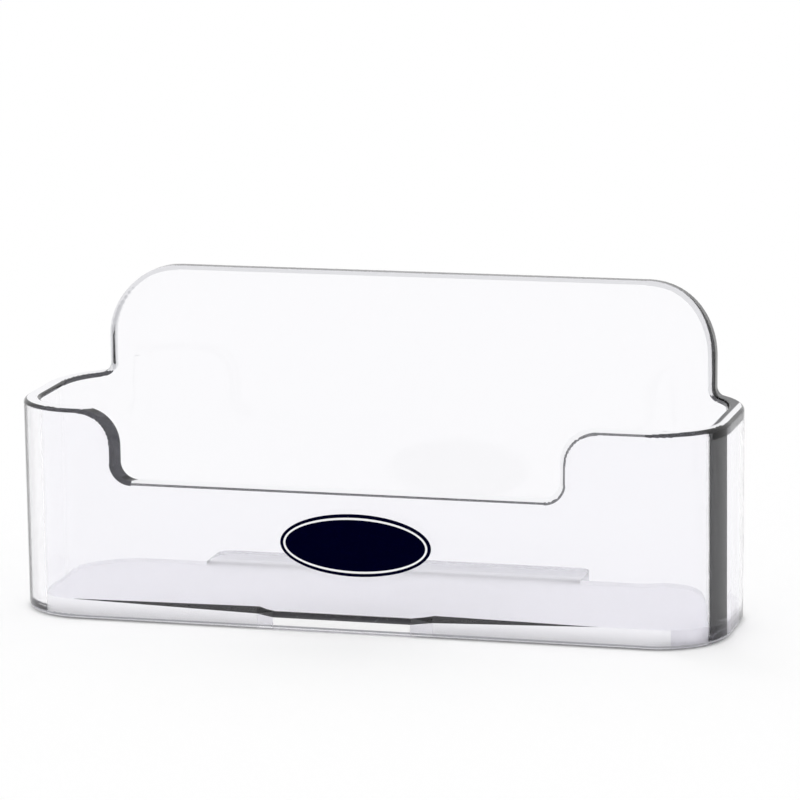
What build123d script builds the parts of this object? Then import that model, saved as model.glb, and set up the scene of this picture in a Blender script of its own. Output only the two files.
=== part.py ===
import os
from math import cos, hypot, radians, sin

from build123d import *

# A clear plastic business card holder for a desk.
# Millimetres, +X to the right, +Y towards the back rest, +Z up.
# The origin lies on the desk, at the middle of the footprint.

# Pocket shell: one clear moulding of four walls and a tall back rest
holder_width = 98.0
pocket_depth = 29.0
wall = 2.3
rim_height = 29.1
back_rest_rise = 15.0
back_rest_left_inset = 6.2
back_rest_right_inset = 5.4
back_lean = 1.5
front_corner_radius = 9.5
rear_corner_radius = 12.0
right_inner_radius = 5.0
back_rest_corner_radius = 9.8
back_rest_root_radius = 1.0
rim_rounding = 0.6
foot_rounding = 0.7

# Finger scoop in the front wall, between a narrow left shoulder and a wider right one
# Its sides flare outwards through the wall, so it is wider at the front face
scoop_depth = 9.65
left_shoulder = 16.25
right_shoulder = 21.6
scoop_flare = 1.1
scoop_top_radius = 5.0
scoop_bottom_radius = 2.4

# Floor plate: a clear plate with a front key and a rear heel, cemented into the shell
floor_thickness = 2.4
cement_gap = 0.05
front_key_width = 19.0
front_key_root_width = 24.4
front_key_middle = -2.0
heel_width = 53.9
heel_middle = -2.2
heel_reach = 5.5
heel_corner_radius = 1.8

# Bevel along the plate's front edge, full at the key and running out on both sides
bevel_drop = 0.7
bevel_reach = 1.2
bevel_left_run = 27.3
bevel_right_run = 22.9

# Oval label on the front wall, with a printed border line
label_width = 20.8
label_height = 8.5
label_thickness = 0.2
label_middle_x = 0.15
label_middle_z = 12.2
border_inset = 0.45
border_width = 0.28
border_thickness = 0.05

# Places that follow from the sizes
front_y = -(pocket_depth + heel_reach) / 2
back_y = front_y + pocket_depth
middle_y = (front_y + back_y) / 2
straight_run = pocket_depth - front_corner_radius - rear_corner_radius
bend_y = front_y + front_corner_radius + straight_run / 2
heel_end_y = back_y + heel_reach
plate_front_y = front_y + wall + cement_gap
back_height = rim_height + back_rest_rise
scoop_floor = rim_height - scoop_depth
scoop_left = -holder_width / 2 + left_shoulder
scoop_right = holder_width / 2 - right_shoulder
back_rest_left = -holder_width / 2 + back_rest_left_inset
back_rest_right = holder_width / 2 - back_rest_right_inset
lean_direction = (0, sin(radians(back_lean)), cos(radians(back_lean)))
over = 2 * wall


def front_view(y):
    """The upright plane across the holder at depth y, seen from the front."""
    return Plane(origin=(0, y, 0), x_dir=(1, 0, 0), z_dir=(0, -1, 0))


def pocket_outline(inset):
    """The pocket's plan at desk level, moved inwards by an inset. The right front is sharper inside."""
    right_radius = right_inner_radius + wall - inset if inset > 0 else front_corner_radius
    plan = Pos(0, middle_y) * Rectangle(holder_width - 2 * inset, pocket_depth - 2 * inset)
    plan = fillet(plan.vertices().sort_by(Axis.Y)[-2:], rear_corner_radius - inset)
    plan = fillet(min(plan.vertices(), key=lambda v: v.Y + v.X), front_corner_radius - inset)
    return fillet(min(plan.vertices(), key=lambda v: v.Y - v.X), right_radius)


def leaning_block(inset, height):
    """The pocket's plan drawn up to a height: an upright front half and a leaning rear half."""
    plan = pocket_outline(inset)
    half = Rectangle(holder_width, pocket_depth)
    front_half = plan & Pos(0, bend_y + straight_run / 4 - pocket_depth / 2) * half
    rear_half = plan & Pos(0, bend_y - straight_run / 4 + pocket_depth / 2) * half
    upright = extrude(front_half, height)
    leaning = extrude(rear_half, height / lean_direction[2], dir=lean_direction)
    return upright + leaning


def above_front_rim():
    """The space over the front half of the rim."""
    depth = middle_y - front_y - wall
    space = Box(2 * holder_width, depth, back_height, align=(Align.CENTER, Align.MAX, Align.MIN))
    return Pos(0, middle_y, rim_height) * space


def scoop_openings():
    """Two slanting openings through the front wall, which together make the flaring finger scoop."""
    far = holder_width
    corners = [
        (-far, rim_height),
        (scoop_left, rim_height),
        (scoop_left, scoop_floor),
        (scoop_right, scoop_floor),
        (scoop_right, rim_height),
        (far, rim_height),
        (far, 2 * back_height),
        (-far, 2 * back_height),
    ]
    outline = make_face(Polyline(*corners, close=True))
    near_scoop = outline.vertices().filter_by(lambda v: abs(v.X) < far / 2)
    outline = fillet(near_scoop.filter_by(lambda v: v.Y < rim_height - wall), scoop_bottom_radius)
    shoulders = outline.vertices().filter_by(lambda v: abs(v.X) < far / 2)
    outline = fillet(shoulders.filter_by(lambda v: abs(v.Y - rim_height) < wall / 4), scoop_top_radius)
    outline = front_view(front_y + wall) * outline
    slant = hypot(scoop_flare, wall)
    to_left = extrude(outline, slant, dir=(-scoop_flare, -wall, 0))
    to_right = extrude(outline, slant, dir=(scoop_flare, -wall, 0))
    return to_left, to_right


def above_back_rim():
    """The space over the rear corners and the back rest."""
    far = holder_width
    corners = [
        (-far, rim_height),
        (back_rest_left, rim_height),
        (back_rest_left, back_height),
        (back_rest_right, back_height),
        (back_rest_right, rim_height),
        (far, rim_height),
        (far, 2 * back_height),
        (-far, 2 * back_height),
    ]
    outline = make_face(Polyline(*corners, close=True))
    roots = outline.vertices().filter_by(lambda v: abs(v.X) < far and abs(v.Y - rim_height) < wall / 4)
    outline = fillet(roots, back_rest_root_radius)
    tops = outline.vertices().filter_by(lambda v: abs(v.X) < far and abs(v.Y - back_height) < wall / 4)
    outline = fillet(tops, back_rest_corner_radius)
    reach = pocket_depth + heel_reach
    return extrude(front_view(middle_y + reach) * outline, reach)


def front_key(clearance):
    """The tapered key that passes through the front wall, in plan."""
    half_root = front_key_root_width / 2 + clearance
    half_tip = front_key_width / 2 + clearance
    corners = [
        (-half_root, plate_front_y + wall),
        (-half_root, plate_front_y),
        (-half_tip, front_y - clearance),
        (half_tip, front_y - clearance),
        (half_root, plate_front_y),
        (half_root, plate_front_y + wall),
    ]
    return Pos(front_key_middle, 0) * make_face(Polyline(*corners, close=True))


def rear_heel(clearance):
    """The heel that passes under the back rest and stands out behind it, in plan."""
    root_y = back_y - 2 * wall
    length = heel_end_y + clearance - root_y
    plan = Rectangle(heel_width + 2 * clearance, length)
    plan = fillet(plan.vertices().sort_by(Axis.Y)[-2:], heel_corner_radius + clearance)
    return Pos(heel_middle, root_y + length / 2) * plan


def front_bevel():
    """The sloping cut over the plate's front edge and key."""
    half_root = front_key_root_width / 2
    half_tip = front_key_width / 2
    left_end = -half_root - bevel_left_run
    right_end = half_root + bevel_right_run
    corners = [
        (left_end, plate_front_y - bevel_reach),
        (-half_root, plate_front_y),
        (-half_tip, front_y),
        (half_tip, front_y),
        (half_root, plate_front_y),
        (right_end, plate_front_y - bevel_reach),
        (right_end, front_y - over),
        (left_end, front_y - over),
    ]
    cut = make_face(Polyline(*corners, close=True))
    cut = Pos(front_key_middle, -bevel_reach, floor_thickness - 2 * bevel_drop) * cut
    slope = hypot(bevel_reach, bevel_drop)
    return extrude(cut, 2.5 * slope, dir=(0, bevel_reach, bevel_drop))


def make_pocket_shell():
    walls = leaning_block(0, back_height + over) - leaning_block(wall, back_height + over)
    walls = walls - above_front_rim()
    for opening in scoop_openings():
        walls = walls - opening
    walls = walls - above_back_rim()
    high_faces = walls.faces().filter_by(lambda f: f.center().Z > scoop_floor - wall / 4)
    front_rim = high_faces.filter_by(lambda f: f.center().Y < front_y + wall and abs(f.normal_at().Y) < 0.9)
    rest_rim = high_faces.filter_by(lambda f: f.center().Y > front_y + wall and abs(f.normal_at().Y) < 0.001)
    rest_rim = rest_rim.filter_by(lambda f: abs(f.normal_at().Z) > 0.001 or f.center().Z > rim_height)
    rim_faces = front_rim + rest_rim
    wall_edges = walls.faces().filter_by(lambda f: f not in rim_faces).edges()
    rim_edges = rim_faces.edges().filter_by(lambda e: e in wall_edges)
    walls = fillet(rim_edges.sort_by(Axis.Z)[::-1], rim_rounding)
    foot_edges = walls.faces().sort_by(Axis.Z)[0].outer_wire().edges()
    walls = fillet(foot_edges, foot_rounding)
    key_slot = extrude(front_key(cement_gap), floor_thickness + cement_gap)
    heel_slot = extrude(rear_heel(cement_gap), floor_thickness + cement_gap)
    return walls - key_slot - heel_slot


def make_floor_plate():
    plate = leaning_block(wall + cement_gap, floor_thickness)
    plate = plate + extrude(front_key(0), floor_thickness)
    plate = plate + extrude(rear_heel(0), floor_thickness)
    plate = plate - front_bevel()
    front_edges = plate.edges().filter_by(lambda e: e.center().Y < front_y + wall / 4)
    return fillet(front_edges.sort_by(Axis.Z)[0], foot_rounding)


def make_label_film():
    oval = Ellipse(label_width / 2, label_height / 2)
    return extrude(front_view(front_y) * Pos(label_middle_x, label_middle_z) * oval, label_thickness)


def make_label_border():
    outer_x = label_width / 2 - border_inset
    outer_z = label_height / 2 - border_inset
    ring = Ellipse(outer_x, outer_z) - Ellipse(outer_x - border_width, outer_z - border_width)
    label_face = front_view(front_y - label_thickness)
    return extrude(label_face * Pos(label_middle_x, label_middle_z) * ring, border_thickness)


os.makedirs("parts", exist_ok=True)
export_step(make_pocket_shell(), "parts/pocket_shell.step")
export_step(make_floor_plate(), "parts/floor_plate.step")
export_step(make_label_film(), "parts/label_film.step")
export_step(make_label_border(), "parts/label_border.step")
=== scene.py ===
from math import cos, radians, sin

import bpy
from mathutils import Matrix, Vector

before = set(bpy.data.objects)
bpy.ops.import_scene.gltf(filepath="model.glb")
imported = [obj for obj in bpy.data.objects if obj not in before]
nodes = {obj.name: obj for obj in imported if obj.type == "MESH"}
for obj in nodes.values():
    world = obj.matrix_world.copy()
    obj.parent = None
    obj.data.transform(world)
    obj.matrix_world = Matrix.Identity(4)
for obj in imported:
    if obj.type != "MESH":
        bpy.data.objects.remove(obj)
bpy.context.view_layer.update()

# Camera at the photograph's viewing angle
CAMERA_AZIMUTH = 15.51
CAMERA_ELEVATION = 11.56
CAMERA_ROLL = -0.83
CAMERA_DISTANCE = 0.5951
CAMERA_TARGET = (0.00256, -0.00275, 0.02912)
CAMERA_LENS = 198.16
CAMERA_SENSOR = 36.0
CAMERA_CLIP = 0.01

# White studio
STUDIO_FLOOR_SIZE = 6.0
STUDIO_FLOOR_DROP = 0.0001
STUDIO_FLOOR_GREY = 0.9
STUDIO_FLOOR_GLOW = 0.1

# Sizes of the holder, in metres, by which its faces are told apart
HALF_WIDTH = 0.049
FRONT_Y = -0.01725
BACK_Y = 0.01175
MIDDLE_Y = (FRONT_Y + BACK_Y) / 2
BACK_SLOPE = 0.0262
FRONT_RADIUS = 0.0095
REAR_RADIUS = 0.012
WALL = 0.0023
RIM_HEIGHT = 0.0291
REST_RIGHT = 0.0436
SCOOP_LEFT = -0.03275
PLATE_TOP = 0.0024
FOOT_ROUNDING = 0.0007
NEAR = 0.0001

# Places where a finish begins or ends, in metres
SCOOP_SIDE = 0.0066
SCOOP_FOOT = 0.0026
SLOT_REACH = 0.035
CORNER_FULL = 0.047
LINE_REACH = 0.0082
SHADE_START = 0.0474
SHADE_DROP = 0.0015
STRIPE_END = 0.0488
FACET_START = 0.0424
FACET_END_Y = -0.002

# How far a face turns towards a direction: 1 is straight along it, 0 across it and -1 against it
FLAT = 0.9
SLANTED = 0.3
WALL_FACING = 0.995
SHARP_CORNER_FACING = 0.94
RIM_TOP_FACING = 0.97
PLATE_TOP_FACING = 0.95
BEVEL_FACING = 0.1
RIM_LINE_FACING = 0.8
RIM_INNER_FACING = 0.2
UPPER_FOOT_LINE = (-0.5, -0.08)
LOWER_FOOT_LINE = (-0.985, -0.8)

# Clear plastic, and how often light is followed through it
PLASTIC_IOR = 1.49
CEMENT_IOR = 1.001
STRIPE_END_IOR = 1.8
GLOSSY_BOUNCES = 4
TOTAL_BOUNCES = 48

# Grain that every finish has
GRAIN_DETAIL = 3.0
GRAIN_DARK_END = 0.3
GRAIN_LIGHT_END = 0.7

scene = bpy.context.scene


def make_camera():
    """The camera that took the photograph."""
    azimuth = radians(CAMERA_AZIMUTH)
    elevation = radians(CAMERA_ELEVATION)
    roll = radians(CAMERA_ROLL)
    back = Vector((sin(azimuth) * cos(elevation), -cos(azimuth) * cos(elevation), sin(elevation)))
    right = Vector((cos(azimuth), sin(azimuth), 0.0))
    up = back.cross(right)
    rolled_right = cos(roll) * right + sin(roll) * up
    rolled_up = -sin(roll) * right + cos(roll) * up
    data = bpy.data.cameras.new("photo_camera")
    data.lens = CAMERA_LENS
    data.sensor_width = CAMERA_SENSOR
    data.clip_start = CAMERA_CLIP
    camera = bpy.data.objects.new("photo_camera", data)
    scene.collection.objects.link(camera)
    turn = Matrix((rolled_right, rolled_up, back)).transposed().to_4x4()
    camera.matrix_world = Matrix.Translation(Vector(CAMERA_TARGET) + back * CAMERA_DISTANCE) @ turn
    scene.camera = camera


def new_material(name):
    """An empty material, with its nodes and links."""
    material = bpy.data.materials.new(name)
    material.use_nodes = True
    material.node_tree.nodes.clear()
    return material, material.node_tree.nodes, material.node_tree.links


def maths_node(tree, links, kind, first, second):
    """A maths node on two inputs, each a socket or a number."""
    node = tree.new("ShaderNodeMath")
    node.operation = kind
    for place, value in enumerate((first, second)):
        if isinstance(value, float):
            node.inputs[place].default_value = value
        else:
            links.new(value, node.inputs[place])
    return node.outputs["Value"]


def corner_reach(tree, links, parts):
    """How far a place lies out from the middle of the right front corner, or from that middle's row."""
    across = maths_node(tree, links, "SUBTRACT", parts.outputs["X"], HALF_WIDTH - FRONT_RADIUS)
    before = maths_node(tree, links, "SUBTRACT", parts.outputs["Y"], FRONT_Y + FRONT_RADIUS)
    before = maths_node(tree, links, "MINIMUM", before, 0.0)
    across = maths_node(tree, links, "MULTIPLY", across, across)
    before = maths_node(tree, links, "MULTIPLY", before, before)
    return maths_node(tree, links, "POWER", maths_node(tree, links, "ADD", across, before), 0.5)


def blend_along(tree, links, place, paint, other, axis, start, end):
    """A change to another colour between two places along an axis."""
    parts = tree.new("ShaderNodeSeparateXYZ")
    links.new(place.outputs["Object"], parts.inputs["Vector"])
    step = tree.new("ShaderNodeMapRange")
    step.inputs["From Min"].default_value = start
    step.inputs["From Max"].default_value = end
    along = corner_reach(tree, links, parts) if axis == "corner" else parts.outputs[axis]
    links.new(along, step.inputs["Value"])
    mix = tree.new("ShaderNodeMix")
    mix.data_type = "RGBA"
    mix.inputs["B"].default_value = (*other, 1)
    links.new(step.outputs["Result"], mix.inputs["Factor"])
    links.new(paint, mix.inputs["A"])
    return mix.outputs["Result"]


def finish(name, colour, roughness, spread, grain, relief, transmission=0.0, specular=0.5,
           ior=PLASTIC_IOR, shine=1.0, patchy=0.02, other=None, axis="Y", start=0.0, end=1.0, foot=None):
    """A plastic whose colour, roughness and surface vary with a fine grain, with painted shade blended in
    along an axis and below the plate's top where asked.
    """
    material, tree, links = new_material(name)
    out = tree.new("ShaderNodeOutputMaterial")
    shader = tree.new("ShaderNodeBsdfPrincipled")
    shader.inputs["IOR"].default_value = ior
    shader.inputs["Transmission Weight"].default_value = transmission
    shader.inputs["Specular IOR Level"].default_value = specular
    shader.inputs["Specular Tint"].default_value = (shine, shine, shine, 1)
    place = tree.new("ShaderNodeTexCoord")
    noise = tree.new("ShaderNodeTexNoise")
    noise.inputs["Scale"].default_value = grain
    noise.inputs["Detail"].default_value = GRAIN_DETAIL
    links.new(place.outputs["Object"], noise.inputs["Vector"])
    shade = tree.new("ShaderNodeValToRGB")
    shade.color_ramp.elements[0].position = GRAIN_DARK_END
    shade.color_ramp.elements[0].color = (*[c * (1 - patchy) for c in colour], 1)
    shade.color_ramp.elements[1].position = GRAIN_LIGHT_END
    shade.color_ramp.elements[1].color = (*colour, 1)
    links.new(noise.outputs["Fac"], shade.inputs["Fac"])
    paint = shade.outputs["Color"]
    if other:
        paint = blend_along(tree, links, place, paint, other, axis, start, end)
    if foot:
        paint = blend_along(tree, links, place, paint, foot, "Z", PLATE_TOP + NEAR, PLATE_TOP)
    links.new(paint, shader.inputs["Base Color"])
    span = tree.new("ShaderNodeMapRange")
    span.inputs["To Min"].default_value = max(roughness - spread, 0.0)
    span.inputs["To Max"].default_value = roughness + spread
    links.new(noise.outputs["Fac"], span.inputs["Value"])
    links.new(span.outputs["Result"], shader.inputs["Roughness"])
    bump = tree.new("ShaderNodeBump")
    bump.inputs["Strength"].default_value = 1.0
    bump.inputs["Distance"].default_value = relief
    links.new(noise.outputs["Fac"], bump.inputs["Height"])
    links.new(bump.outputs["Normal"], shader.inputs["Normal"])
    links.new(shader.outputs["BSDF"], out.inputs["Surface"])
    return material


def make_world():
    """Even white light from all round."""
    world = bpy.data.worlds.new("studio")
    scene.world = world
    world.use_nodes = True
    tree = world.node_tree
    tree.nodes.clear()
    out = tree.nodes.new("ShaderNodeOutputWorld")
    light = tree.nodes.new("ShaderNodeBackground")
    light.inputs["Color"].default_value = (1, 1, 1, 1)
    light.inputs["Strength"].default_value = 1.0
    tree.links.new(light.outputs["Background"], out.inputs["Surface"])


def make_floor():
    """A pale floor that looks white where it is seen, mirrored or seen through the plastic."""
    bpy.ops.mesh.primitive_plane_add(size=STUDIO_FLOOR_SIZE, location=(0, 0, -STUDIO_FLOOR_DROP))
    floor = bpy.context.object
    floor.name = "floor"
    material, tree, links = new_material("floor_white")
    out = tree.new("ShaderNodeOutputMaterial")
    ray = tree.new("ShaderNodeLightPath")
    diffuse = tree.new("ShaderNodeBsdfDiffuse")
    diffuse.inputs["Color"].default_value = (STUDIO_FLOOR_GREY, STUDIO_FLOOR_GREY, STUDIO_FLOOR_GREY, 1)
    glow = tree.new("ShaderNodeEmission")
    glow.inputs["Color"].default_value = (STUDIO_FLOOR_GLOW, STUDIO_FLOOR_GLOW, STUDIO_FLOOR_GLOW, 1)
    seen = maths_node(tree, links, "MAXIMUM", ray.outputs["Is Camera Ray"], ray.outputs["Is Glossy Ray"])
    seen = maths_node(tree, links, "MAXIMUM", seen, ray.outputs["Is Transmission Ray"])
    links.new(seen, glow.inputs["Strength"])
    both = tree.new("ShaderNodeAddShader")
    links.new(diffuse.outputs["BSDF"], both.inputs[0])
    links.new(glow.outputs["Emission"], both.inputs[1])
    links.new(both.outputs["Shader"], out.inputs["Surface"])
    floor.data.materials.append(material)


def wall_direction(place):
    """The way the wall faces at a place, from the pocket's plan."""
    radius = FRONT_RADIUS if place.y < MIDDLE_Y else REAR_RADIUS
    across = max(abs(place.x) - (HALF_WIDTH - radius), 0.0)
    before = min(place.y - (FRONT_Y + FRONT_RADIUS), 0.0)
    behind = max(place.y - (BACK_Y + BACK_SLOPE * place.z - REAR_RADIUS), 0.0)
    return Vector((across if place.x > 0 else -across, before + behind, 0.0)).normalized()


def on_foot_line(normal):
    """Whether a face of the foot rounding lies on one of the two thin lines of painted shade along it."""
    on_upper = UPPER_FOOT_LINE[0] < normal.z < UPPER_FOOT_LINE[1]
    on_lower = LOWER_FOOT_LINE[0] < normal.z < LOWER_FOOT_LINE[1]
    return on_upper or on_lower


def foot_finish(place, normal):
    """The finish of a low face of the shell: slot, foot rounding or wall."""
    if abs(place.x) < SLOT_REACH and abs(normal.x) > SLANTED:
        return cemented
    if normal.z < -FLAT and place.z > PLATE_TOP:
        return cemented
    if place.z < FOOT_ROUNDING and on_foot_line(normal):
        return foot_line
    return clear


def front_rim_finish(place, normal):
    """The finish of an edge of the front rim: painted shade on the left scoop side, and a thin line of
    painted shade along the rest.
    """
    if SCOOP_LEFT - SCOOP_SIDE < place.x < SCOOP_LEFT + SCOOP_FOOT:
        return edge_shade
    if normal.y > -RIM_INNER_FACING:
        return rim_flat
    if place.x < SCOOP_LEFT:
        return edge_shade if normal.z > SLANTED else clear
    return rim_line if normal.y < -RIM_LINE_FACING else rim_flat


def wall_finish(place, facing):
    """The finish of a wall face: shaded at its rim and foot round the right end."""
    if facing > 0 and place.x > STRIPE_END and place.y < FRONT_Y + FRONT_RADIUS:
        return stripe_end
    if facing > 0 and place.x > SHADE_START:
        return shaded
    return clear


def corner_line(place, facing):
    """The line of painted shade under the rim, which grows to the whole rounding along the right front
    corner.
    """
    share = (CORNER_FULL - place.x) / (CORNER_FULL - HALF_WIDTH + FRONT_RADIUS)
    return edge_shade if facing > RIM_LINE_FACING * max(share, 0.0) else rim_flat


def shell_finish(place, normal):
    """The finish of a face of the shell: walls, rim, roundings, scoop sides or slots."""
    if place.z < PLATE_TOP + 2 * NEAR:
        return foot_finish(place, normal)
    facing = normal.dot(wall_direction(place))
    sharp_corner = place.x > 0 and place.y < MIDDLE_Y and facing < 0
    if abs(facing) > (SHARP_CORNER_FACING if sharp_corner else WALL_FACING):
        return wall_finish(place, facing)
    if normal.z > RIM_TOP_FACING and abs(place.z - RIM_HEIGHT) < NEAR:
        return rim_flat if place.x < HALF_WIDTH - FRONT_RADIUS else lined_flat
    if place.z > RIM_HEIGHT + NEAR:
        return edge_shade if place.x > REST_RIGHT - NEAR else soft_edge
    if abs(place.x) < HALF_WIDTH - FRONT_RADIUS and place.y < FRONT_Y + WALL + NEAR:
        return front_rim_finish(place, normal)
    if place.x < 0 and facing > 0 and place.y > FRONT_Y + FRONT_RADIUS:
        return soft_edge
    if place.x > 0 and facing > 0 and place.y < MIDDLE_Y:
        return corner_line(place, facing)
    return edge_shade


def plate_finish(place, normal):
    """The finish of a face of the floor plate: foot rounding, underside, top, bevel or edge."""
    if place.y < FRONT_Y + FOOT_ROUNDING and -FLAT < normal.z < UPPER_FOOT_LINE[1]:
        return foot_line if on_foot_line(normal) else clear
    if normal.z < -FLAT:
        return underside
    if normal.z > PLATE_TOP_FACING:
        return clear
    if normal.z > BEVEL_FACING:
        return key_bevel if place.y < FRONT_Y + WALL else bevel
    if place.y > BACK_Y:
        return clear
    if abs(normal.x) > SLANTED and abs(place.x) < SLOT_REACH:
        return cemented
    if place.x > FACET_START and place.y < FACET_END_Y:
        return plate_end_shade
    return bonded


def label_finish(place, normal):
    """The finish of a face of the label: white on the back that sticks to the wall, and dark elsewhere."""
    return backing if normal.y > FLAT else vinyl


def border_finish(place, normal):
    """The finish of the printed border line, the same all over."""
    return ink


def dress(node, main, pick):
    """Gives each face of a node the finish that a function picks for it."""
    mesh = nodes[node].data
    mesh.materials.clear()
    mesh.materials.append(main)
    slots = {main.name: 0}
    for face in mesh.polygons:
        material = pick(face.center, face.normal)
        if material.name not in slots:
            slots[material.name] = len(slots)
            mesh.materials.append(material)
        face.material_index = slots[material.name]


make_camera()
make_world()
make_floor()

# Looks that several finishes share
wall_look = {
    "colour": (0.985, 0.982, 1.0),
    "roughness": 0.0,
    "spread": 0.01,
    "grain": 700,
    "relief": 4e-7,
    "transmission": 0.97,
    "shine": 0.4,
    "patchy": 0.004,
}
end_shade = {
    "other": (0.012, 0.012, 0.014),
    "axis": "Z",
    "start": RIM_HEIGHT - SHADE_DROP - NEAR,
    "end": RIM_HEIGHT - SHADE_DROP + NEAR,
    "foot": (0.5, 0.49, 0.52),
}
# Frosted white rim tops: partly a frosted finish, partly a painted highlight in place of the light that the
# clear rim catches
flat_look = {
    "colour": (0.93, 0.93, 0.95),
    "roughness": 0.35,
    "spread": 0.08,
    "grain": 900,
    "relief": 4e-6,
}
# Dark line on the right rim top near the front corner: painted shade
inner_line = {
    "other": (0.04, 0.04, 0.045),
    "axis": "corner",
    "start": LINE_REACH + NEAR,
    "end": LINE_REACH - NEAR,
}
edge_look = {
    "roughness": 0.06,
    "spread": 0.03,
    "grain": 900,
    "relief": 2e-6,
    "transmission": 1.0,
    "patchy": 0.2,
}
bevel_look = {
    "roughness": 0.25,
    "spread": 0.1,
    "grain": 900,
    "relief": 4e-6,
    "patchy": 0.15,
}

# Finishes of the shell's walls and edges
clear = finish("clear_plastic", **wall_look)
# Grey tint on the back rest and left wall roundings: painted shade of the rounded edges
soft_edge = finish("rounded_edge", (0.6, 0.6, 0.63), roughness=0.04, spread=0.03, grain=900, relief=2e-6,
                   transmission=1.0)
# Near-black tint on the rim, scoop side and back rest roundings: painted shade where light is trapped in the
# clear wall
edge_shade = finish("painted_edge_shade", (0.005, 0.005, 0.0065), **edge_look)
# Dark tint along the front rim's edge: a thin line of painted shade
rim_line = finish("rim_line", (0.055, 0.055, 0.06), **edge_look)
# Grey strips on the foot rounding: two thin lines of painted shade along the bottom edge
foot_line = finish("foot_line", (0.42, 0.42, 0.45), roughness=0.2, spread=0.1, grain=900, relief=3e-6,
                   patchy=0.1)
rim_flat = finish("rim_flat", **flat_look)
lined_flat = finish("lined_rim_flat", **flat_look, **inner_line)
shaded = finish("shaded_corner", **wall_look, **end_shade)
stripe_end = finish("stripe_end", **wall_look, **end_shade, ior=STRIPE_END_IOR)

# Finishes of the floor plate and its joint with the shell
cemented = finish("cemented_flank", (1.0, 1.0, 1.0), roughness=0.0, spread=0.0, grain=900, relief=0.0,
                  transmission=1.0, ior=CEMENT_IOR, patchy=0.01)
bonded = finish("bonded_edge", (1.0, 1.0, 1.0), roughness=0.6, spread=0.1, grain=900, relief=8e-6,
                patchy=0.01)
# Matte grey on the plate's edge at the right end only: painted shade
plate_end_shade = finish("painted_shade_plate_end", (0.86, 0.85, 0.89), roughness=0.6, spread=0.1, grain=1400, relief=1e-5, patchy=0.06)
# Near-black and dark grey on the plate's front bevel: the dark stepped line as painted shade
bevel = finish("bevel", (0.006, 0.006, 0.007), **bevel_look, specular=0.0)
key_bevel = finish("key_bevel", (0.15, 0.15, 0.16), **bevel_look)
# White matte underside, darker behind the back wall's inner face: the darker heel band is painted shade
underside = finish("matte_underside", (0.985, 0.98, 1.0), roughness=0.7, spread=0.1, grain=1400,
                   relief=1.5e-5, other=(0.82, 0.82, 0.84), axis="Y", start=BACK_Y - WALL, end=BACK_Y)

# Finishes of the label
vinyl = finish("label_vinyl", (0.0004, 0.0005, 0.0115), roughness=0.5, spread=0.1, grain=1800, relief=3e-6,
               specular=0.0, patchy=0.15)
backing = finish("label_backing", (0.95, 0.95, 0.95), roughness=0.6, spread=0.1, grain=1800, relief=5e-6)
ink = finish("label_ink", (0.95, 0.95, 0.95), roughness=0.5, spread=0.1, grain=2400, relief=3e-6,
             specular=0.0, patchy=0.03)

dress("pocket_shell", clear, shell_finish)
dress("floor_plate", clear, plate_finish)
dress("label_film", vinyl, label_finish)
dress("label_border", ink, border_finish)

scene.cycles.max_bounces = TOTAL_BOUNCES
scene.cycles.diffuse_bounces = TOTAL_BOUNCES
scene.cycles.glossy_bounces = GLOSSY_BOUNCES
scene.cycles.transmission_bounces = TOTAL_BOUNCES
scene.cycles.blur_glossy = 0.0
scene.view_settings.view_transform = "Standard"
